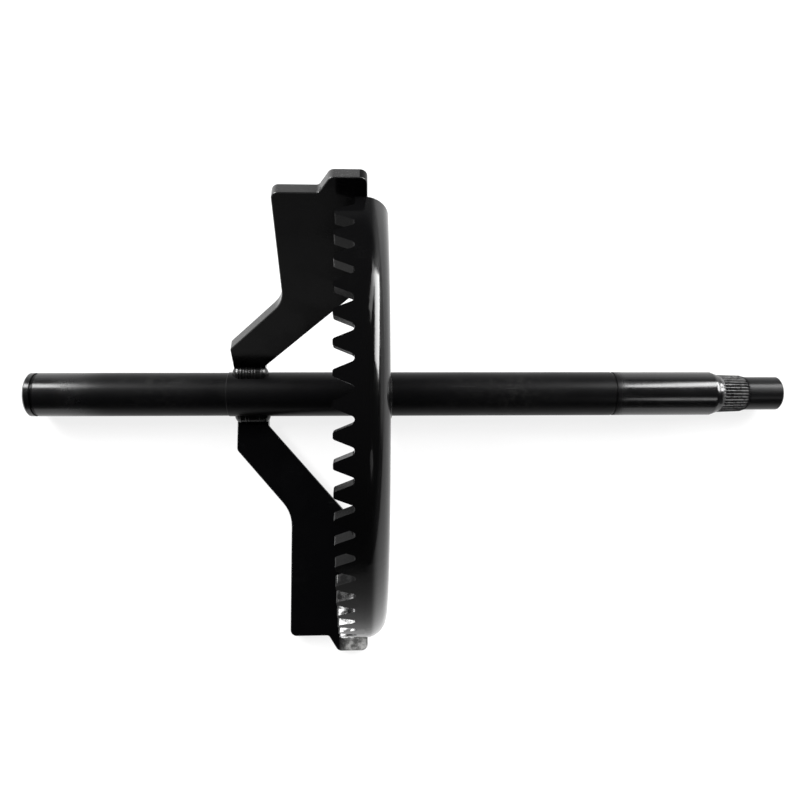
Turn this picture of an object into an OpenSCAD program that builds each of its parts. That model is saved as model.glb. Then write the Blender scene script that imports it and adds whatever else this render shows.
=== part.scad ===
// Steering sector gear: a turned shaft with a pressed crown-tooth sector welded on.
// Shaft axis is X with the splined end at +X; X = 0 is the back face of the sector web.
// The part lies as it comes to rest: shaft and lower arm flat on the floor, Z up.

/* [Shaft] */
// Bar diameter under the sector and in the splined-end bearing
shaft_d = 19.05; // [17:0.05:21]
// Web back face to the plain end
left_len = 150.7; // [130:0.1:190]
// Radial relief of the plain-end journal below the bar
left_relief = 0.225; // [0.2:0.025:0.5]
// Bar left standing beside the arm feet before that relief
step_gap = 3; // [1.5:0.1:6]
// Clip groove centre from the plain end
clip_inset = 3.4; // [2.5:0.1:6]
// Clip groove width
clip_w = 1.2; // [0.8:0.1:1.6]
// Clip groove depth
clip_depth = 0.45; // [0.3:0.05:1]
// Bearing line groove centre from the web back face
line_x = 100.1; // [80:0.1:115]
// Bearing line groove width
line_w = 1.2; // [0.8:0.1:2]
// Bearing line groove depth
line_depth = 0.4; // [0.3:0.05:1]
// Shoulder at the outer end of the bearing journal
shoulder_x = 144; // [130:0.1:160]
// Taper from the shoulder down to the serrations
taper_len = 4.8; // [3:0.1:8]
// Pilot diameter beyond the serrations
pilot_d = 14.5; // [13:0.1:15]
// Pilot length
pilot_len = 15.2; // [10:0.1:25]
// Chamfer on both shaft ends
end_chamfer = 0.7; // [0.4:0.1:1.2]

/* [Serrations] */
// Serrations around the shaft
serration_count = 36; // [24:2:48]
// Serrated length
serration_len = 9; // [6:0.1:14]
// Run-out length beside the pilot
runout_len = 2.2; // [1.5:0.1:4]
// Crest diameter next to the shoulder
crest_start_d = 16.6; // [16.2:0.1:16.9]
// Crest diameter next to the pilot
crest_end_d = 15.9; // [15.5:0.1:16.1]

/* [Sector] */
// Sheet thickness of the pressing
sheet_t = 4.76; // [3.5:0.01:5.5]
// Half of the angle between the two arms
half_angle = 60; // [54:1:66]
// Web back face to the tooth tips
rim_height = 18.15; // [17:0.05:22]
// Outer radius of the bend between web and rim
rim_bend_r = 8.5; // [7:0.1:9]
// Outer radius of the bend between web and arms
arm_bend_r = 7.2; // [6.5:0.1:7.6]
// Seam left between each rim end and the arm it butts against
rim_seam = 0.25; // [0.15:0.05:0.6]
// Slot left between the rim's bend and each arm's bend
bend_relief = 1.2; // [0.6:0.1:3]
// Free play of the web notch around the shaft
notch_play = 0.1; // [0.05:0.05:0.4]

/* [Teeth] */
// Teeth cut in the rim
tooth_count = 22; // [20:1:26]
// Tooth size as a module, pitch length over pi
tooth_module = 3; // [2.9:0.05:3.2]
// Tooth depth from tip to root
tooth_depth = 6.75; // [6:0.05:7]
// Slope of each tooth flank
flank_angle = 22.5; // [20:0.5:27]
// Turn of the tooth row toward the upper arm
tooth_shift = 0.75; // [0:0.05:1]
// Rounding of the tooth tips
tip_round = 1.2; // [0.5:0.05:1.5]
// Rounding of the tooth roots
root_round = 1.3; // [0.5:0.05:1.5]

/* [Arms] */
// Web back face to the far edge of each foot
foot_reach = 63.6; // [58:0.1:72]
// Width of each foot along the shaft
foot_w = 13.4; // [10:0.1:16]
// Height of the foot's straight outer edge from the axis
foot_top = 23.7; // [20:0.1:28]
// Height of the foot's straight inner edge from the axis
foot_heel = 12.9; // [11.5:0.1:15]
// Web back face to the outer edge of each arm
arm_reach = 39.7; // [36:0.1:44]
// Distance of the knee from the axis
knee_height = 51; // [46:0.1:56]
// Rounding of the knee
knee_round = 15; // [8:0.5:20]
// Where the window meets the web bend, from the axis
window_height = 61.5; // [56:0.1:68]
// Arm end beyond the rim
arm_over = 1; // [0.5:0.1:3]
// Tab end beyond the rim
tab_over = 7.3; // [5:0.1:9]
// Tab width
tab_w = 14.4; // [11:0.1:16]
// Lean of the tab's outer side
tab_lean = 4; // [1:0.1:5]
// Rounding of the foot, tab and arm corners
corner_round = 2.6; // [1.5:0.1:3]
// Rounding where the tab rises from the arm end
tab_fillet = 1.6; // [0.6:0.1:2]

/* [Welds] */
// Gap left at each foot for the weld
root_gap = 0.8; // [0.5:0.1:1.2]
// Radius of the arm weld beads
bead_r = 3.6; // [3:0.1:4]
// Leg of the weld around the web notch
hub_leg = 3.5; // [2.5:0.1:4.5]

/* [Hidden] */
shaft_r = shaft_d / 2;
left_r = shaft_r - left_relief;
pilot_r = pilot_d / 2;
step_x = -foot_reach - step_gap;
serration_x = shoulder_x + taper_len;
serration_end = serration_x + serration_len;
pilot_x = serration_end + runout_len;
right_len = pilot_x + pilot_len;
core_r = pilot_r - 0.4;
pitch_angle = 2 * half_angle / tooth_count;
pitch_r = tooth_module * 180 / pitch_angle;
rim_r = pitch_r + sheet_t / 2;
half_space = PI * tooth_module / 4;
tooth_tip = -rim_height;
tooth_root = tooth_tip + tooth_depth;
tip_half = half_space + tooth_depth / 2 * tan(flank_angle);
root_half = half_space - tooth_depth / 2 * tan(flank_angle);
// Half of the tip at the inside of the wall, where the teeth are narrowest
tip_room = PI * (rim_r - sheet_t) * pitch_angle / 360 - tip_half;
flank_turn = tan(45 + flank_angle / 2);
tip_fillet = min(tip_round, 0.95 * tip_room * flank_turn);
root_fillet = min(root_round, 0.95 * root_half * flank_turn);
// The tip rounding runs out of the wall at a small slope, so it never lies along the tip face
tip_slope = 8;
tip_out = 2;
web_r = rim_r - rim_bend_r;
// Arm outer faces lie tangent to the bar, so the part rests flat on one of them
arm_out = shaft_r;
arm_in = arm_out - sheet_t;
web_side = arm_out - arm_bend_r;
foot_end = sqrt(pow(shaft_r, 2) - pow(arm_in, 2)) + root_gap;
arm_end = rim_r + arm_over;
tab_end = rim_r + tab_over;
tab_right = -arm_bend_r;
tab_left = tab_right - tab_w;
hub_turn = acos(web_side / shaft_r) - half_angle / 2 + 8;
$fn = 96;

// Turns local Z to the shaft axis and local X to the middle of the sector
module on_axis() {
    rotate([270 - half_angle, 0, 0])
        rotate([0, 90, 0])
            children();
}

// Places an arm drawn along local X on the lower or the upper side of the sector
module on_arm(lower) {
    if (lower)
        rotate([0, 0, half_angle])
            children();
    else
        mirror([0, 1, 0])
            rotate([0, 0, half_angle])
                children();
}

function unit(v) = v / norm(v);

// Points of an arc of radius r that rounds corner p between the edges to a and to b
function round_corner(p, a, b, r) =
    let (
        u = unit(a - p),
        v = unit(b - p),
        half = acos(u * v) / 2,
        centre = p + unit(u + v) * r / sin(half),
        from = p + u * r / tan(half) - centre,
        turn = 180 - 2 * half,
        way = u[0] * v[1] - u[1] * v[0] > 0 ? -1 : 1,
        steps = ceil(turn / 9)
    )
    [
        for (i = [0 : steps])
            let (c = cos(way * turn * i / steps), d = sin(way * turn * i / steps))
                centre + [c * from[0] - d * from[1], d * from[0] + c * from[1]]
    ];

// Outline through corners given as [point, radius], with radius 0 left sharp
function rounded(corners) =
    let (n = len(corners))
    [
        for (i = [0 : n - 1])
            let (p = corners[i][0], r = corners[i][1])
                each r == 0 ? [p]
                    : round_corner(p, corners[(i + n - 1) % n][0], corners[(i + 1) % n][0], r)
    ];

// Half profile of the turned shaft, radius against distance along the axis
module shaft_profile() {
    polygon([
        [0, -left_len],
        [left_r - end_chamfer, -left_len],
        [left_r, -left_len + end_chamfer],
        [left_r, -left_len + clip_inset - clip_w / 2],
        [left_r - clip_depth, -left_len + clip_inset - clip_w / 2],
        [left_r - clip_depth, -left_len + clip_inset + clip_w / 2],
        [left_r, -left_len + clip_inset + clip_w / 2],
        [left_r, step_x],
        [shaft_r, step_x + left_relief],
        [shaft_r, line_x - line_w / 2],
        [shaft_r - line_depth, line_x - line_w / 2],
        [shaft_r - line_depth, line_x + line_w / 2],
        [shaft_r, line_x + line_w / 2],
        [shaft_r, shoulder_x],
        [crest_start_d / 2 - 0.5, serration_x],
        [core_r, serration_x],
        [core_r, pilot_x],
        [pilot_r, pilot_x],
        [pilot_r, right_len - end_chamfer],
        [pilot_r - end_chamfer, right_len],
        [0, right_len]
    ]);
}

// Envelope that tapers the serration crests and runs them out at the pilot
module crest_envelope() {
    rotate_extrude()
        polygon([
            [0, serration_x - 1.5],
            [crest_start_d / 2, serration_x - 1.5],
            [crest_end_d / 2, serration_end],
            [pilot_r, pilot_x],
            [pilot_r, pilot_x + 0.2],
            [0, pilot_x + 0.2]
        ]);
}

module serration_star() {
    step = 360 / serration_count;
    crest = crest_start_d / 2 + 0.3;
    polygon([
        for (i = [0 : serration_count - 1], side = [0, 1])
            let (r = side == 0 ? crest : pilot_r - 0.1, a = (i + side / 2) * step)
                [r * cos(a), r * sin(a)]
    ]);
}

module steering_shaft() {
    color([0.08, 0.08, 0.09])
        on_axis() {
            rotate_extrude()
                shaft_profile();
            intersection() {
                crest_envelope();
                translate([0, 0, serration_x - 2])
                    linear_extrude(height = pilot_x - serration_x + 3)
                        serration_star();
            }
        }
}

// Rim section: tooth wall, bend and the start of the web
module rim_section() {
    translate([rim_r - sheet_t, -rim_height])
        square([sheet_t, rim_height - rim_bend_r]);
    translate([web_r - sheet_t, -sheet_t])
        square([sheet_t, sheet_t]);
    intersection() {
        translate([web_r, -rim_bend_r])
            difference() {
                circle(r = rim_bend_r);
                circle(r = rim_bend_r - sheet_t);
            }
        translate([web_r, -rim_bend_r])
            square([rim_bend_r, rim_bend_r]);
    }
}

// One tooth space: flanks, rounded tips and rounded root
module tooth_space() {
    polygon(rounded([
        [[-tip_half - tip_out, tooth_tip - 1], 0],
        [[-tip_half - tip_out, tooth_tip - tip_out * tan(tip_slope)], 0],
        [[-tip_half, tooth_tip], tip_fillet],
        [[-root_half, tooth_root], root_fillet],
        [[root_half, tooth_root], root_fillet],
        [[tip_half, tooth_tip], tip_fillet],
        [[tip_half + tip_out, tooth_tip - tip_out * tan(tip_slope)], 0],
        [[tip_half + tip_out, tooth_tip - 1], 0]
    ]));
}

// Space between an end tooth and the arm beside it, open at root level toward the arm
module end_space() {
    past_rim = arm_in + pitch_r * sin(tooth_shift) + 2;
    polygon(rounded([
        [[-tip_half - tip_out, tooth_tip - 1], 0],
        [[-tip_half - tip_out, tooth_tip - tip_out * tan(tip_slope)], 0],
        [[-tip_half, tooth_tip], tip_fillet],
        [[-root_half, tooth_root], root_fillet],
        [[past_rim, tooth_root], 0],
        [[past_rim, tooth_tip - 1], 0]
    ]));
}

// Pushes a space drawn at the rim through the tooth wall at place i of the row
module through_wall(i) {
    rotate([0, 0, i * pitch_angle - half_angle])
        translate([rim_r - sheet_t - 1, 0, 0])
            rotate([90, 0, 90])
                linear_extrude(height = sheet_t + 2)
                    children();
}

// Sector between two planes parallel to the arms, the given distance beyond the radius
module sector_wedge(side) {
    apex = -side / sin(half_angle);
    far = 3 * rim_r;
    polygon([
        [apex, 0],
        [apex + far * cos(half_angle), -far * sin(half_angle)],
        [apex + far, 0],
        [apex + far * cos(half_angle), far * sin(half_angle)]
    ]);
}

// Rim swept past both arms, its teeth cut, then trimmed to butt against the arms
module toothed_rim() {
    sweep = half_angle + 8;
    intersection() {
        rotate([0, 0, -tooth_shift])
            difference() {
                rotate([0, 0, -sweep])
                    rotate_extrude(angle = 2 * sweep)
                        rim_section();
                for (i = [1 : tooth_count - 1])
                    through_wall(i)
                        tooth_space();
                through_wall(0)
                    mirror([1, 0])
                        end_space();
                through_wall(tooth_count)
                    end_space();
            }
        translate([0, 0, -2 * rim_height])
            linear_extrude(height = 3 * rim_height)
                sector_wedge(arm_in - rim_seam);
    }
}

// Web: the flat sector, notched to sit astride the shaft, with a lip under the rim's bend
module web() {
    lip_r = web_r - sheet_t / 2;
    translate([0, 0, -sheet_t])
        linear_extrude(height = sheet_t)
            difference() {
                union() {
                    intersection() {
                        circle(r = lip_r);
                        sector_wedge(web_side);
                    }
                    intersection() {
                        difference() {
                            circle(r = lip_r);
                            circle(r = lip_r - sheet_t);
                        }
                        sector_wedge(arm_in - rim_seam);
                    }
                }
                circle(r = shaft_r + notch_play);
            }
}

// Arm outline, distance from the axis against distance along it
module arm_outline() {
    heel_x = foot_w - foot_reach;
    foot_low = [foot_end, -foot_reach];
    foot_high = [foot_top, -foot_reach];
    knee = [knee_height, -arm_reach];
    far_corner = [arm_end, -arm_reach];
    tab_step = [arm_end, tab_left - tab_lean / 2];
    tab_far = [tab_end, tab_left + tab_lean / 2];
    tab_near = [tab_end, tab_right];
    window_top = [window_height, tab_right];
    heel = [foot_heel, heel_x];
    polygon(rounded([
        [foot_low, 0],
        [foot_high, corner_round],
        [knee, knee_round],
        [far_corner, corner_round],
        [tab_step, tab_fillet],
        [tab_far, corner_round],
        [tab_near, corner_round],
        [window_top, 0],
        [heel, 0],
        [[foot_end, heel_x], 0]
    ]));
}

module arm_plate() {
    translate([0, arm_out, 0])
        rotate([90, 0, 0])
            linear_extrude(height = sheet_t)
                arm_outline();
}

// Bend between web and arm, with a straight tail lapping into each
module arm_bend() {
    translate([window_height, 0, 0])
        rotate([90, 0, 90])
            linear_extrude(height = web_r - 1.5 * sheet_t - bend_relief - window_height) {
                intersection() {
                    translate([web_side, -arm_bend_r])
                        difference() {
                            circle(r = arm_bend_r);
                            circle(r = arm_bend_r - sheet_t);
                        }
                    translate([web_side, -arm_bend_r])
                        square([arm_bend_r, arm_bend_r]);
                }
                translate([web_side - sheet_t, -sheet_t])
                    square([sheet_t, sheet_t]);
                translate([arm_in, -arm_bend_r - 2])
                    square([sheet_t, 2]);
            }
}

module sector_gear() {
    color([0.06, 0.06, 0.07])
        on_axis() {
            toothed_rim();
            web();
            for (lower = [true, false])
                on_arm(lower) {
                    arm_plate();
                    arm_bend();
                }
        }
}

// Rounded bead in the corner between an arm foot and the shaft
module arm_weld(lower) {
    middle = foot_w / 2 - foot_reach;
    half_run = foot_w / 2 - bead_r + 1;
    color([0.11, 0.11, 0.12])
        on_axis()
            difference() {
                on_arm(lower)
                    translate([foot_end - root_gap / 2, arm_in - 0.4, middle]) {
                        translate([0, 0, -half_run])
                            cylinder(r = bead_r, h = 2 * half_run);
                        for (side = [-1, 1])
                            translate([0, 0, side * half_run])
                                sphere(r = bead_r);
                    }
                translate([0, 0, middle - foot_w])
                    cylinder(r = shaft_r, h = 2 * foot_w);
                on_arm(lower)
                    arm_plate();
            }
}

module upper_arm_weld() {
    arm_weld(false);
}

module lower_arm_weld() {
    arm_weld(true);
}

// Quarter of a bead, from inside the shaft to its outer leg
module hub_section() {
    square([shaft_r, hub_leg]);
    intersection() {
        translate([shaft_r, 0])
            circle(r = hub_leg);
        square([shaft_r + hub_leg, hub_leg]);
    }
}

// Quarter-round bead on the web's back face where the notch meets the shaft
module hub_weld() {
    color([0.11, 0.11, 0.12])
        on_axis()
            difference() {
                union() {
                    rotate([0, 0, -hub_turn])
                        rotate_extrude(angle = 2 * hub_turn)
                            hub_section();
                    for (side = [-1, 1])
                        rotate([0, 0, side * hub_turn])
                            translate([shaft_r, 0, 0])
                                rotate_extrude()
                                    intersection() {
                                        circle(r = hub_leg);
                                        square([hub_leg, hub_leg]);
                                    }
                }
                translate([0, 0, -hub_leg])
                    cylinder(r = shaft_r, h = 3 * hub_leg);
            }
}

steering_shaft();
sector_gear();
hub_weld();
upper_arm_weld();
lower_arm_weld();
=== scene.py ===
import math

import bmesh
import bpy
from mathutils import Matrix, Quaternion, Vector


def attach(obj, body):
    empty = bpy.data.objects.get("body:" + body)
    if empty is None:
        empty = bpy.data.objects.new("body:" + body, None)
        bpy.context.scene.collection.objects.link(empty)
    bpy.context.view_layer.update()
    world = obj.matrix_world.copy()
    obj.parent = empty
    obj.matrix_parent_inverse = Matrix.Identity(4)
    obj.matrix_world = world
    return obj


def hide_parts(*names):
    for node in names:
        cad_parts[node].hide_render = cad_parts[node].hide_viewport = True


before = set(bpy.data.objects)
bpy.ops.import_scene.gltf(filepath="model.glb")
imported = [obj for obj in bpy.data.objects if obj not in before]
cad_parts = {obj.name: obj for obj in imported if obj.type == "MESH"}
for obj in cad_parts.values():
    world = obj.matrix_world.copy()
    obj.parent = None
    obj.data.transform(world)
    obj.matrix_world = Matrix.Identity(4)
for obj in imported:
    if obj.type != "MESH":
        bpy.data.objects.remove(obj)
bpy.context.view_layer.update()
scene = bpy.context.scene

# Sizes and places in metres, and the photo camera
BAR_R = 0.009525
PILOT_R = 0.00725
FLOOR_Z = -BAR_R
SHEET_T = 0.00476
ARM_IN = BAR_R - SHEET_T
FOOT_FAR_X = -0.0636
FOOT_WIDTH = 0.0134
FOOT_END = math.sqrt(BAR_R ** 2 - ARM_IN ** 2) + 0.0008
HUB_LEG = 0.0035
SERRATION_START_X = 0.1472
SERRATION_END_X = 0.1602
LINE_X = 0.1001
CLIP_X = -0.1473
WEB_R = 0.0927
WEB_FADE = 0.0015
RIM_R = 0.1018
ARM_FLAT_X = -0.0071
RIM_HALF_ANGLE = math.radians(62.6)
TOOTH_ROOT_X = -0.0114
WALL_X, BEND_X = -0.0068, -0.0030
STEP_X = -0.0666
TAB_PATCH_X, TAB_PATCH_Y = (-0.0195, -0.0150), (-0.1030, -0.1005)
POLISHED_TEETH_Z = (0.050, 0.078)
PHOTO_WIDTH_PX, FOCAL_PX = 800, 776.488
CAMERA_PLACE = (-0.008533, -0.049191, 0.334754)


# Node helpers

def link(tree, a, b):
    tree.links.new(a, b)


def add(tree, kind, place=(0, 0), **settings):
    node = tree.nodes.new(kind)
    node.location = place
    for key, value in settings.items():
        setattr(node, key, value)
    return node


def math_node(tree, operation, a, b=None, clamp=False):
    node = add(tree, "ShaderNodeMath", operation=operation, use_clamp=clamp)
    for i, value in enumerate((a, b)):
        if value is None:
            continue
        if isinstance(value, (int, float)):
            node.inputs[i].default_value = value
        else:
            link(tree, value, node.inputs[i])
    return node.outputs[0]


def ramp(tree, value, low, high, to_low=0.0, to_high=1.0):
    node = add(tree, "ShaderNodeMapRange", interpolation_type="SMOOTHSTEP")
    link(tree, value, node.inputs["Value"])
    node.inputs["From Min"].default_value = low
    node.inputs["From Max"].default_value = high
    node.inputs["To Min"].default_value = to_low
    node.inputs["To Max"].default_value = to_high
    return node.outputs["Result"]


def noise(tree, vector, scale, detail=3.0, roughness=0.5):
    node = add(tree, "ShaderNodeTexNoise")
    link(tree, vector, node.inputs["Vector"])
    node.inputs["Scale"].default_value = scale
    node.inputs["Detail"].default_value = detail
    node.inputs["Roughness"].default_value = roughness
    return node.outputs["Fac"]


def new_group(name, inputs, outputs):
    tree = bpy.data.node_groups.new(name, "ShaderNodeTree")
    for label, kind, value in inputs:
        socket = tree.interface.new_socket(name=label, in_out="INPUT", socket_type=kind)
        if value is not None:
            socket.default_value = value
    for label, kind in outputs:
        tree.interface.new_socket(name=label, in_out="OUTPUT", socket_type=kind)
    return tree, add(tree, "NodeGroupInput", (-900, 0)), add(tree, "NodeGroupOutput", (900, 0))


# Shared effects

def paint_film_group():
    """Sprayed paint: fine orange peel, slow waves from runs, and small dust nibs."""
    tree, given, out = new_group(
        "paint_film",
        [
            ("Position", "NodeSocketVector", None),
            ("Peel Scale", "NodeSocketFloat", 900.0),
            ("Wave Scale", "NodeSocketFloat", 70.0),
            ("Nib Scale", "NodeSocketFloat", 520.0),
        ],
        [("Height", "NodeSocketFloat"), ("Gloss Patch", "NodeSocketFloat"), ("Nibs", "NodeSocketFloat")],
    )
    place = given.outputs["Position"]
    peel = add(tree, "ShaderNodeTexNoise")
    link(tree, place, peel.inputs["Vector"])
    link(tree, given.outputs["Peel Scale"], peel.inputs["Scale"])
    peel.inputs["Detail"].default_value = 2.0
    wave = add(tree, "ShaderNodeTexNoise")
    link(tree, place, wave.inputs["Vector"])
    link(tree, given.outputs["Wave Scale"], wave.inputs["Scale"])
    wave.inputs["Detail"].default_value = 4.0
    nib = add(tree, "ShaderNodeTexVoronoi")
    link(tree, place, nib.inputs["Vector"])
    link(tree, given.outputs["Nib Scale"], nib.inputs["Scale"])
    spot = ramp(tree, nib.outputs["Distance"], 0.05, 0.16, 1.0, 0.0)
    rare = ramp(tree, noise(tree, place, 160.0, 2.0), 0.6, 0.68)
    nibs = math_node(tree, "MULTIPLY", spot, rare)
    fine = math_node(tree, "MULTIPLY", peel.outputs["Fac"], 0.10)
    height = math_node(tree, "ADD", fine, wave.outputs["Fac"])
    height = math_node(tree, "ADD", height, math_node(tree, "MULTIPLY", nibs, 0.5))
    link(tree, height, out.inputs["Height"])
    link(tree, ramp(tree, wave.outputs["Fac"], 0.35, 0.7), out.inputs["Gloss Patch"])
    link(tree, nibs, out.inputs["Nibs"])
    return tree


def handling_group():
    """Rubbed and dusty patches where the part has been handled."""
    tree, given, out = new_group(
        "handling_marks",
        [("Position", "NodeSocketVector", None), ("Amount", "NodeSocketFloat", 0.5)],
        [("Dust", "NodeSocketFloat"), ("Scuff", "NodeSocketFloat")],
    )
    place = given.outputs["Position"]
    cloud = ramp(tree, noise(tree, place, 28.0, 5.0, 0.6), 0.48, 0.75)
    fine = ramp(tree, noise(tree, place, 340.0, 4.0, 0.7), 0.42, 0.7)
    dust = math_node(tree, "MULTIPLY", cloud, fine)
    link(tree, math_node(tree, "MULTIPLY", dust, given.outputs["Amount"], True), out.inputs["Dust"])
    stretched = add(tree, "ShaderNodeVectorMath", operation="MULTIPLY")
    link(tree, place, stretched.inputs[0])
    stretched.inputs[1].default_value = (60.0, 900.0, 700.0)
    scratch = ramp(tree, noise(tree, stretched.outputs[0], 1.0, 3.0, 0.6), 0.63, 0.7)
    scuff = math_node(tree, "MULTIPLY", scratch, cloud)
    link(tree, math_node(tree, "MULTIPLY", scuff, given.outputs["Amount"], True), out.inputs["Scuff"])
    return tree


def axis_distance_group():
    """Distance along the shaft and distance from its axis, in metres."""
    tree, given, out = new_group(
        "axis_distance",
        [("Position", "NodeSocketVector", None)],
        [("Along", "NodeSocketFloat"), ("Radius", "NodeSocketFloat")],
    )
    split = add(tree, "ShaderNodeSeparateXYZ")
    link(tree, given.outputs["Position"], split.inputs[0])
    square = math_node(
        tree,
        "ADD",
        math_node(tree, "POWER", split.outputs["Y"], 2.0),
        math_node(tree, "POWER", split.outputs["Z"], 2.0),
    )
    link(tree, split.outputs["X"], out.inputs["Along"])
    link(tree, math_node(tree, "SQRT", square), out.inputs["Radius"])
    return tree


PAINT_FILM = paint_film_group()
HANDLING = handling_group()
AXIS_DISTANCE = axis_distance_group()


# Materials

def place_group(tree, group, position, **values):
    node = add(tree, "ShaderNodeGroup", node_tree=group)
    link(tree, position, node.inputs["Position"])
    for key, value in values.items():
        node.inputs[key.replace("_", " ")].default_value = value
    return node.outputs


def mix_colour(tree, fac, a, b):
    node = add(tree, "ShaderNodeMix", data_type="RGBA")
    for socket, value in ((node.inputs[0], fac), (node.inputs[6], a), (node.inputs[7], b)):
        if isinstance(value, (tuple, list)):
            socket.default_value = (*value, 1.0)
        elif isinstance(value, (int, float)):
            socket.default_value = value
        else:
            link(tree, value, socket)
    return node.outputs[2]


def start_material(name):
    material = bpy.data.materials.new(name)
    material.use_nodes = True
    tree = material.node_tree
    tree.nodes.clear()
    out = add(tree, "ShaderNodeOutputMaterial", (600, 0))
    surface = add(tree, "ShaderNodeBsdfPrincipled", (300, 0))
    link(tree, surface.outputs["BSDF"], out.inputs["Surface"])
    position = add(tree, "ShaderNodeTexCoord", (-1200, 0)).outputs["Object"]
    return material, tree, surface, position


def bump(tree, surface, height, strength, distance):
    node = add(tree, "ShaderNodeBump")
    node.inputs["Strength"].default_value = strength
    node.inputs["Distance"].default_value = distance
    link(tree, height, node.inputs["Height"])
    link(tree, node.outputs["Normal"], surface.inputs["Normal"])


def tab_grey_patch(tree, position):
    """A patchy, paler grey area on the lower tab, past the end of the rim."""
    split = add(tree, "ShaderNodeSeparateXYZ")
    link(tree, position, split.inputs[0])
    past_rim = ramp(tree, split.outputs["Y"], *TAB_PATCH_Y, 1.0, 0.0)
    on_tab = ramp(tree, split.outputs["X"], *TAB_PATCH_X)
    patchy = ramp(tree, noise(tree, position, 380.0, 5.0, 0.65), 0.36, 0.62, 0.25, 1.0)
    return math_node(tree, "MULTIPLY", math_node(tree, "MULTIPLY", past_rim, on_tab), patchy)


def sector_paint(name, black, worn, gloss, shine, dusty, bump_depth, wall_shine=None, tab_patch=False):
    material, tree, surface, position = start_material(name)
    surface.inputs["Specular IOR Level"].default_value = shine
    if wall_shine is not None:
        # The toothed wall and the web are duller than the bend between them
        axis = place_group(tree, AXIS_DISTANCE, position)
        off_wall = ramp(tree, axis["Along"], WALL_X, BEND_X)
        off_web = ramp(tree, axis["Radius"], WEB_R, WEB_R + WEB_FADE)
        on_bend = math_node(tree, "MULTIPLY", off_wall, off_web)
        link(tree, ramp(tree, on_bend, 0.0, 1.0, wall_shine, shine), surface.inputs["Specular IOR Level"])
    film = place_group(tree, PAINT_FILM, position)
    marks = place_group(tree, HANDLING, position, Amount=dusty)
    colour = mix_colour(tree, marks["Dust"], black, worn)
    colour = mix_colour(tree, marks["Scuff"], colour, tuple(2.2 * v for v in worn))
    if tab_patch:
        # Paler grey patch on the lower tab past the rim end
        colour = mix_colour(tree, tab_grey_patch(tree, position), colour, (0.20, 0.20, 0.196))
    link(tree, colour, surface.inputs["Base Color"])
    rough = ramp(tree, film["Gloss Patch"], 0.0, 1.0, gloss[0], gloss[1])
    rough = math_node(tree, "ADD", rough, math_node(tree, "MULTIPLY", marks["Dust"], 0.25), True)
    link(tree, rough, surface.inputs["Roughness"])
    bump(tree, surface, film["Height"], 0.35, bump_depth)
    return material


def tooth_paint():
    """Paint on the tooth flanks, polished in patches at the lower end of the row."""
    dull, polished = 0.07, 0.60
    material = sector_paint(
        "tooth_flank_paint", black=(0.0030, 0.0030, 0.0031), worn=(0.016, 0.0158, 0.015),
        gloss=(0.15, 0.24), shine=dull, dusty=0.8, bump_depth=0.0002,
    )
    tree = material.node_tree
    surface = tree.nodes["Principled BSDF"]
    position = add(tree, "ShaderNodeTexCoord").outputs["Object"]
    split = add(tree, "ShaderNodeSeparateXYZ")
    link(tree, position, split.inputs[0])
    run_in = ramp(tree, split.outputs["Z"], *POLISHED_TEETH_Z, 1.0, 0.0)
    patchy = ramp(tree, noise(tree, position, 420.0, 4.0, 0.6), 0.34, 0.60)
    polish = math_node(tree, "MULTIPLY", run_in, patchy)
    link(tree, ramp(tree, polish, 0.0, 1.0, dull, polished), surface.inputs["Specular IOR Level"])
    return material


def ring_mask(tree, along, place):
    """One within a ring groove, nothing beside it."""
    away = math_node(tree, "ABSOLUTE", math_node(tree, "SUBTRACT", along, place))
    return ramp(tree, away, 0.0007, 0.0011, 1.0, 0.0)


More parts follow.
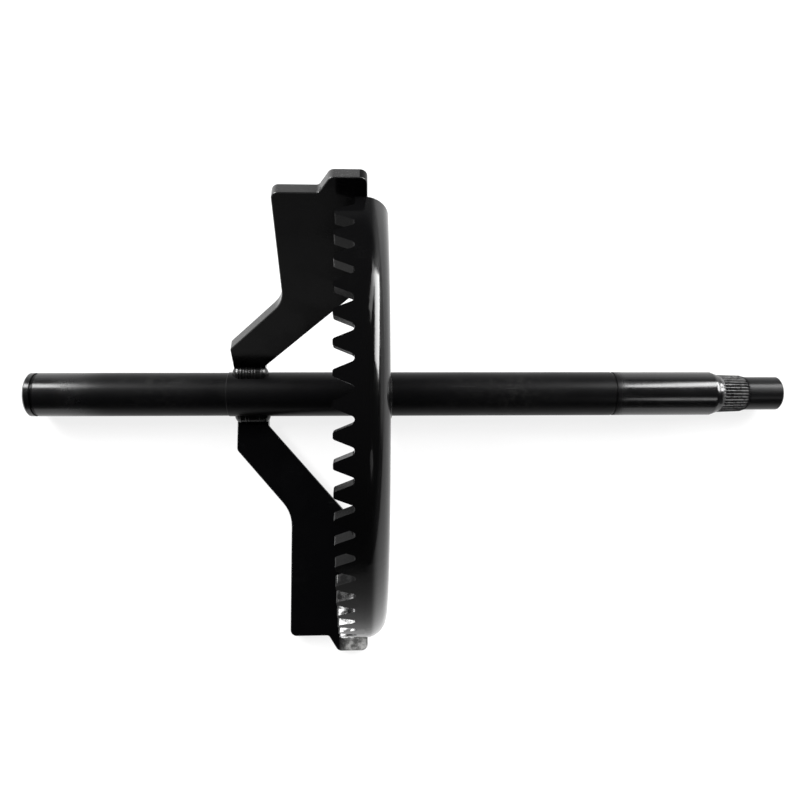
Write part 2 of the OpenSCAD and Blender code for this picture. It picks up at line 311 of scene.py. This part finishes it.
def shaft_paint():
    material, tree, surface, position = start_material("shaft_paint_black")
    film = place_group(tree, PAINT_FILM, position, Wave_Scale=45.0, Peel_Scale=1100.0)
    marks = place_group(tree, HANDLING, position, Amount=0.6)
    axis = place_group(tree, AXIS_DISTANCE, position)
    # Bare crests on the serrations
    in_serrations = math_node(
        tree,
        "MULTIPLY",
        ramp(tree, axis["Along"], SERRATION_START_X - 0.0006, SERRATION_START_X + 0.001),
        ramp(tree, axis["Along"], SERRATION_END_X - 0.002, SERRATION_END_X + 0.0006, 1.0, 0.0),
    )
    crest = ramp(tree, axis["Radius"], PILOT_R + 0.0001, PILOT_R + 0.0007)
    chips = ramp(tree, noise(tree, position, 700.0, 4.0, 0.65), 0.22, 0.66)
    bare = math_node(tree, "MULTIPLY", math_node(tree, "MULTIPLY", in_serrations, crest), chips)
    # Turned journals shine more than the drawn bar between them
    journal = math_node(
        tree,
        "ADD",
        ramp(tree, axis["Along"], STEP_X - 0.045, STEP_X - 0.075, 0.0, 1.0),
        ramp(tree, axis["Along"], LINE_X - 0.0004, LINE_X + 0.0060),
        True,
    )
    journal = math_node(
        tree, "MULTIPLY", journal, ramp(tree, axis["Along"], SERRATION_START_X, SERRATION_END_X, 1.0, 0.25)
    )
    # Painted shade: much less shine over the two ring grooves, so they show as dark bands
    line, clip = (ring_mask(tree, axis["Along"], place) for place in (LINE_X, CLIP_X))
    groove_shade = math_node(tree, "ADD", line, clip, True)
    shine = ramp(tree, math_node(tree, "SUBTRACT", journal, groove_shade), 0.0, 1.0, 0.10, 0.45)
    shine = math_node(tree, "SUBTRACT", shine, math_node(tree, "MULTIPLY", in_serrations, 0.3), True)
    link(tree, shine, surface.inputs["Specular IOR Level"])
    black = mix_colour(tree, marks["Dust"], (0.0018, 0.0018, 0.0020), (0.009, 0.009, 0.0085))
    black = mix_colour(tree, marks["Scuff"], black, (0.022, 0.022, 0.022))
    link(tree, mix_colour(tree, bare, black, (0.085, 0.085, 0.085)), surface.inputs["Base Color"])
    link(tree, math_node(tree, "MULTIPLY", bare, 0.12), surface.inputs["Metallic"])
    rough = ramp(tree, film["Gloss Patch"], 0.0, 1.0, 0.34, 0.40)
    rough = math_node(tree, "SUBTRACT", rough, math_node(tree, "MULTIPLY", journal, 0.15))
    rough = math_node(tree, "ADD", rough, math_node(tree, "MULTIPLY", marks["Dust"], 0.2), True)
    link(tree, rough, surface.inputs["Roughness"])
    # Drawn streaks along the bar and turned rings on the journals
    drawn = add(tree, "ShaderNodeVectorMath", operation="MULTIPLY")
    link(tree, position, drawn.inputs[0])
    drawn.inputs[1].default_value = (14.0, 900.0, 900.0)
    streak = noise(tree, drawn.outputs[0], 1.0, 3.0, 0.6)
    turned = add(tree, "ShaderNodeVectorMath", operation="MULTIPLY")
    link(tree, position, turned.inputs[0])
    turned.inputs[1].default_value = (2600.0, 20.0, 20.0)
    rings = math_node(tree, "MULTIPLY", noise(tree, turned.outputs[0], 1.0, 2.0), journal)
    height = math_node(tree, "ADD", film["Height"], math_node(tree, "MULTIPLY", streak, 0.25))
    height = math_node(tree, "ADD", height, math_node(tree, "MULTIPLY", rings, 0.2))
    bump(tree, surface, height, 0.3, 0.00010)
    return material


SECTOR_PAINT = sector_paint(
    "sector_paint_black", black=(0.0014, 0.0014, 0.0016), worn=(0.006, 0.006, 0.006),
    gloss=(0.16, 0.26), shine=0.06, dusty=0.4, bump_depth=0.00016, tab_patch=True,
)
RIM_PAINT = sector_paint(
    "rim_gloss_paint", black=(0.0016, 0.0016, 0.0017), worn=(0.007, 0.007, 0.007),
    gloss=(0.09, 0.14), shine=0.42, dusty=0.4, bump_depth=0.00012, wall_shine=0.05,
)
# Lighter paint on the rolled and cut edges: partly thin, worn paint on the edges and partly a painted
# highlight along them.
EDGE_PAINT_AND_HIGHLIGHT = sector_paint(
    "sector_edge_paint_and_highlight", black=(0.0100, 0.0100, 0.0101), worn=(0.030, 0.030, 0.0290),
    gloss=(0.20, 0.32), shine=0.50, dusty=0.6, bump_depth=0.00012, tab_patch=True,
)
TOOTH_PAINT = tooth_paint()
WELD_PAINT = sector_paint(
    "weld_paint_black", black=(0.0022, 0.0022, 0.0023), worn=(0.012, 0.0115, 0.011),
    gloss=(0.22, 0.34), shine=0.45, dusty=0.8, bump_depth=0.0003,
)
SHAFT_PAINT = shaft_paint()


# Pieces dressed from the solids

def merged_copy(node, name):
    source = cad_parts[node]
    mesh = source.data.copy()
    mesh.materials.clear()
    work = bmesh.new()
    work.from_mesh(mesh)
    bmesh.ops.remove_doubles(work, verts=work.verts, dist=2e-6)
    bmesh.ops.dissolve_degenerate(work, edges=work.edges, dist=2e-6)
    work.to_mesh(mesh)
    work.free()
    piece = bpy.data.objects.new(name, mesh)
    scene.collection.objects.link(piece)
    return piece


def rolled_edges(piece, width, segments, limit_deg, edge_slot=None, chosen=None):
    """Rounds the sharp edges as a press leaves them; the rounded strip can take its own paint."""
    work = bmesh.new()
    work.from_mesh(piece.data)
    bmesh.ops.dissolve_limit(
        work, angle_limit=math.radians(0.6), verts=work.verts, edges=work.edges, delimit={"NORMAL"}
    )
    sharp = [
        e for e in work.edges
        if len(e.link_faces) == 2 and e.calc_face_angle(0.0) > math.radians(limit_deg)
        and (chosen is None or chosen(e))
    ]
    bmesh.ops.bevel(
        work,
        geom=sharp,
        offset=width,
        offset_type="OFFSET",
        segments=segments,
        profile=0.5,
        affect="EDGES",
        clamp_overlap=True,
        material=edge_slot if edge_slot is not None else -1,
    )
    work.to_mesh(piece.data)
    work.free()


def smooth(piece, limit_deg):
    """Smooth shading weighted by face area, so flat faces stay flat beside their rolled edges."""
    for polygon in piece.data.polygons:
        polygon.use_smooth = True
    piece.data.set_sharp_from_angle(angle=math.radians(limit_deg))
    modifier = piece.modifiers.new("flat_faces", "WEIGHTED_NORMAL")
    modifier.keep_sharp = True
    modifier.weight = 100
    graph = bpy.context.evaluated_depsgraph_get()
    mesh = bpy.data.meshes.new_from_object(piece.evaluated_get(graph), depsgraph=graph)
    piece.modifiers.clear()
    rough_mesh = piece.data
    mesh.name = piece.name
    piece.data = mesh
    bpy.data.meshes.remove(rough_mesh)


def dress(node, name, paints, rolls, segments, edge_limit, edge_slot=None):
    piece = merged_copy(node, name)
    for paint in paints:
        piece.data.materials.append(paint)
    for polygon in piece.data.polygons:
        polygon.material_index = 0
    for width, chosen in rolls:
        rolled_edges(piece, width, segments, edge_limit, edge_slot, chosen)
    smooth(piece, 40)
    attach(piece, "root")
    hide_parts(node)
    return piece


def paint_rim(piece, flank_slot, gloss_slot):
    """Gives the tooth flanks a thinner paint and the outside of rim and bend a glossier one."""
    middle = Vector((0, -0.5, math.sqrt(0.75)))
    for polygon in piece.data.polygons:
        x, y, z = polygon.center
        radius = math.hypot(y, z)
        off_sector = polygon.center.dot(middle) / radius < math.cos(RIM_HALF_ANGLE)
        if polygon.material_index or radius < WEB_R or off_sector:
            continue
        facing_out = (polygon.normal.y * y + polygon.normal.z * z) / radius
        if x < TOOTH_ROOT_X + 0.0016 and abs(facing_out) < 0.6:
            polygon.material_index = flank_slot
        elif facing_out > 0.2 or polygon.normal.x > 0.2:
            polygon.material_index = gloss_slot


def arm_frame(upper):
    """Directions along an arm and outward from the sector, in the plane across the shaft."""
    if upper:
        return Vector((0, 0.5, math.sqrt(0.75))), Vector((0, math.sqrt(0.75), -0.5))
    return Vector((0, -1, 0)), Vector((0, 0, -1))


def in_arm(place):
    """Whether a place lies in the flat plate of an arm or its tab."""
    for upper in (True, False):
        if ARM_IN - 1e-5 < place.dot(arm_frame(upper)[1]) < BAR_R + 1e-5:
            return place.x < ARM_FLAT_X or math.hypot(place.y, place.z) > RIM_R
    return False


def on_arms(edge):
    return all(in_arm(vertex.co) for vertex in edge.verts)


def off_arms(edge):
    return not any(in_arm(vertex.co) for vertex in edge.verts)


def paint_cut_edges(piece, edge_slot):
    """Gives the cut faces across the thickness of the two arms the lighter edge paint, which is partly a
    painted highlight.
    """
    for polygon in piece.data.polygons:
        if polygon.material_index or polygon.center.x > TOOTH_ROOT_X:
            continue
        for upper in (True, False):
            outward = arm_frame(upper)[1]
            if ARM_IN < polygon.center.dot(outward) < BAR_R and abs(polygon.normal.dot(outward)) < 0.3:
                polygon.material_index = edge_slot


pressing = dress(
    "sector_gear", "sector_pressing", [SECTOR_PAINT, EDGE_PAINT_AND_HIGHLIGHT, TOOTH_PAINT, RIM_PAINT],
    [(0.0007, on_arms), (0.0004, off_arms)], 3, 28, edge_slot=1,
)
paint_rim(pressing, 2, 3)
paint_cut_edges(pressing, 1)
dress("steering_shaft", "steering_bar", [SHAFT_PAINT], [(0.00012, None)], 2, 35)
for name in ("hub_weld", "upper_arm_weld", "lower_arm_weld"):
    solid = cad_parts[name]
    solid.data.materials.clear()
    solid.data.materials.append(WELD_PAINT)


# Weld ripples

def ripple_tree():
    """Overlapping flat beads set along a curve, as a welder's torch leaves them."""
    tree = bpy.data.node_groups.new("weld_ripples", "GeometryNodeTree")
    tree.interface.new_socket(name="Geometry", in_out="INPUT", socket_type="NodeSocketGeometry")
    for label, kind, value in (
        ("Ripples", "NodeSocketInt", 10),
        ("Bead Radius", "NodeSocketFloat", 0.0036),
        ("Flatness", "NodeSocketFloat", 0.4),
        ("Unevenness", "NodeSocketFloat", 0.06),
        ("Seed", "NodeSocketInt", 3),
        ("Paint", "NodeSocketMaterial", None),
    ):
        socket = tree.interface.new_socket(name=label, in_out="INPUT", socket_type=kind)
        if value is not None:
            socket.default_value = value
    tree.interface.new_socket(name="Geometry", in_out="OUTPUT", socket_type="NodeSocketGeometry")
    given, out = add(tree, "NodeGroupInput", (-900, 0)), add(tree, "NodeGroupOutput", (900, 0))
    points = add(tree, "GeometryNodeCurveToPoints", mode="COUNT")
    link(tree, given.outputs["Geometry"], points.inputs["Curve"])
    link(tree, given.outputs["Ripples"], points.inputs["Count"])
    ball = add(tree, "GeometryNodeMeshUVSphere")
    ball.inputs["Segments"].default_value = 28
    ball.inputs["Rings"].default_value = 14
    link(tree, given.outputs["Bead Radius"], ball.inputs["Radius"])
    low = math_node(tree, "SUBTRACT", 1.0, given.outputs["Unevenness"])
    spread = add(tree, "FunctionNodeRandomValue", data_type="FLOAT")
    link(tree, low, spread.inputs[2])
    spread.inputs[3].default_value = 1.0
    link(tree, given.outputs["Seed"], spread.inputs["Seed"])
    size = add(tree, "ShaderNodeCombineXYZ")
    link(tree, spread.outputs[1], size.inputs["X"])
    link(tree, spread.outputs[1], size.inputs["Y"])
    link(tree, given.outputs["Flatness"], size.inputs["Z"])
    beads = add(tree, "GeometryNodeInstanceOnPoints")
    link(tree, points.outputs["Points"], beads.inputs["Points"])
    link(tree, ball.outputs["Mesh"], beads.inputs["Instance"])
    link(tree, points.outputs["Rotation"], beads.inputs["Rotation"])
    link(tree, size.outputs[0], beads.inputs["Scale"])
    real = add(tree, "GeometryNodeRealizeInstances")
    link(tree, beads.outputs["Instances"], real.inputs["Geometry"])
    shade = add(tree, "GeometryNodeSetShadeSmooth")
    link(tree, real.outputs["Geometry"], shade.inputs["Geometry"])
    painted = add(tree, "GeometryNodeSetMaterial")
    link(tree, shade.outputs["Geometry"], painted.inputs["Geometry"])
    link(tree, given.outputs["Paint"], painted.inputs["Material"])
    link(tree, painted.outputs["Geometry"], out.inputs["Geometry"])
    return tree


RIPPLES = ripple_tree()


def weld_run(name, path, slot, **values):
    """A rippled bead along a path of points, made a plain mesh."""
    curve = bpy.data.curves.new(name + "_path", "CURVE")
    curve.dimensions = "3D"
    spline = curve.splines.new("POLY")
    spline.points.add(len(path) - 1)
    for point, place in zip(spline.points, path):
        point.co = (*place, 1.0)
    guide = bpy.data.objects.new(name + "_path", curve)
    scene.collection.objects.link(guide)
    modifier = guide.modifiers.new("ripples", "NODES")
    modifier.node_group = RIPPLES
    for item in RIPPLES.interface.items_tree:
        if item.in_out == "INPUT" and item.name in values:
            modifier[item.identifier] = values[item.name]
    guide.data.update_tag()
    graph = bpy.context.evaluated_depsgraph_get()
    mesh = bpy.data.meshes.new_from_object(guide.evaluated_get(graph), depsgraph=graph)
    guide.modifiers.clear()
    bpy.data.objects.remove(guide)
    bpy.data.curves.remove(curve)
    mesh.name = name
    piece = bpy.data.objects.new(name, mesh)
    scene.collection.objects.link(piece)
    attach(piece, "root")
    return piece


for upper, seed in ((True, 5), (False, 9)):
    along, outward = arm_frame(upper)
    corner = along * (FOOT_END - 0.0004) + outward * (ARM_IN - 0.0004)
    run = [
        corner + Vector((FOOT_FAR_X + FOOT_WIDTH / 2 + t * 0.0048, 0, 0))
        for t in [i / 12 - 1 for i in range(25)]
    ]
    weld_run(
        ("upper" if upper else "lower") + "_arm_weld_ripples", run, "weld_paint",
        **{
            "Ripples": 9, "Bead Radius": 0.00385, "Flatness": 0.34,
            "Unevenness": 0.08, "Seed": seed, "Paint": WELD_PAINT,
        },
    )
middle, side = Vector((0, -0.5, math.sqrt(0.75))), Vector((0, -math.sqrt(0.75), -0.5))
hub_turn = math.radians(54)
hub_run = [
    BAR_R * (middle * math.cos(a) + side * math.sin(a)) + Vector((0.0001, 0, 0))
    for a in [hub_turn * (i / 20 - 1) for i in range(41)]
]
weld_run(
    "hub_weld_ripples", hub_run, "weld_paint",
    **{
        "Ripples": 17, "Bead Radius": HUB_LEG + 0.0001, "Flatness": 0.36,
        "Unevenness": 0.07, "Seed": 4, "Paint": WELD_PAINT,
    },
)


# Floor, light and camera

def floor():
    mesh = bpy.data.meshes.new("floor")
    reach = 6.0
    mesh.from_pydata(
        [(x * reach, y * reach, FLOOR_Z) for x, y in ((-1, -1), (1, -1), (1, 1), (-1, 1))],
        [], [(0, 1, 2, 3)],
    )
    plane = bpy.data.objects.new("floor", mesh)
    scene.collection.objects.link(plane)
    material, tree, surface, position = start_material("floor_white")
    tint = ramp(tree, noise(tree, position, 3.0), 0.3, 0.7, 0.0, 1.0)
    link(tree, mix_colour(tree, tint, (0.93, 0.93, 0.93), (0.95, 0.95, 0.95)), surface.inputs["Base Color"])
    surface.inputs["Roughness"].default_value = 0.7
    surface.inputs["Specular IOR Level"].default_value = 0.1
    # White paper glow seen by the eye and in reflections; the lit share still carries the shadow
    rays = add(tree, "ShaderNodeLightPath").outputs
    seen = math_node(tree, "ADD", rays["Is Camera Ray"], rays["Is Glossy Ray"], True)
    seen = math_node(tree, "ADD", seen, rays["Is Transmission Ray"], True)
    glow = add(tree, "ShaderNodeEmission")
    glow.inputs["Strength"].default_value = 1.0
    blend = add(tree, "ShaderNodeMixShader")
    link(tree, math_node(tree, "MULTIPLY", seen, 0.84), blend.inputs[0])
    link(tree, surface.outputs["BSDF"], blend.inputs[1])
    link(tree, glow.outputs[0], blend.inputs[2])
    link(tree, blend.outputs[0], tree.nodes["Material Output"].inputs["Surface"])
    mesh.materials.append(material)


def softbox(name, place, aim, width, height, power, lean_deg=0.0):
    lamp = bpy.data.lights.new(name, "AREA")
    lamp.shape = "RECTANGLE"
    lamp.size, lamp.size_y = width, height
    lamp.energy = power
    holder = bpy.data.objects.new(name, lamp)
    scene.collection.objects.link(holder)
    holder.location = place
    way = Vector(aim) - Vector(place)
    facing = way.to_track_quat("-Z", "Y") @ Quaternion((0, 0, 1), math.radians(lean_deg))
    holder.rotation_euler = facing.to_euler()


def studio():
    world = bpy.data.worlds.new("studio")
    scene.world = world
    world.use_nodes = True
    tree = world.node_tree
    tree.nodes.clear()
    out = add(tree, "ShaderNodeOutputWorld")
    sky = add(tree, "ShaderNodeBackground")
    split = add(tree, "ShaderNodeSeparateXYZ")
    link(tree, add(tree, "ShaderNodeTexCoord").outputs["Generated"], split.inputs[0])
    low = ramp(tree, split.outputs["Z"], 0.14, 0.36, 1.0, 0.0)
    behind = ramp(tree, split.outputs["Y"], -0.32, -0.04, 0.12, 1.0)
    pale = math_node(tree, "MULTIPLY", low, behind)
    link(tree, mix_colour(tree, pale, (0.012, 0.012, 0.012), (0.9, 0.9, 0.9)), sky.inputs["Color"])
    link(tree, sky.outputs[0], out.inputs["Surface"])


floor()
studio()
softbox("right_window", (1.12, 0.53, 0.72), (0.0, -0.02, 0.07), 0.95, 0.52, 40, -31)
softbox("left_window", (-0.995, 0.57, 0.66), (-0.015, -0.09, 0.03), 1.05, 0.36, 42, 45)
softbox("back_right_box", (0.75, 0.84, 1.02), (0.13, 0.0, 0.0), 0.24, 0.70, 13.0)
softbox("back_left_box", (-0.70, 0.84, 1.05), (-0.14, 0.0, 0.0), 0.22, 0.50, 8.0)
softbox("front_right_box", (0.75, -0.87, 1.08), (0.13, 0.0, 0.0), 0.24, 0.26, 1.1)

lens = bpy.data.cameras.new("photo_camera")
lens.sensor_fit = "HORIZONTAL"
lens.sensor_width = 36.0
lens.lens = FOCAL_PX / PHOTO_WIDTH_PX * lens.sensor_width
lens.clip_start, lens.clip_end = 0.01, 50
camera = bpy.data.objects.new("photo_camera", lens)
scene.collection.objects.link(camera)
right = Vector((0.9989, -0.0085, 0.0456))
up = Vector((0.0022, 0.9905, 0.1378))
back = Vector((-0.0463, -0.1375, 0.9894))
turn = Matrix((right, up, back)).transposed().to_4x4()
camera.matrix_world = Matrix.Translation(CAMERA_PLACE) @ turn
scene.camera = camera

scene.view_settings.view_transform = "Standard"
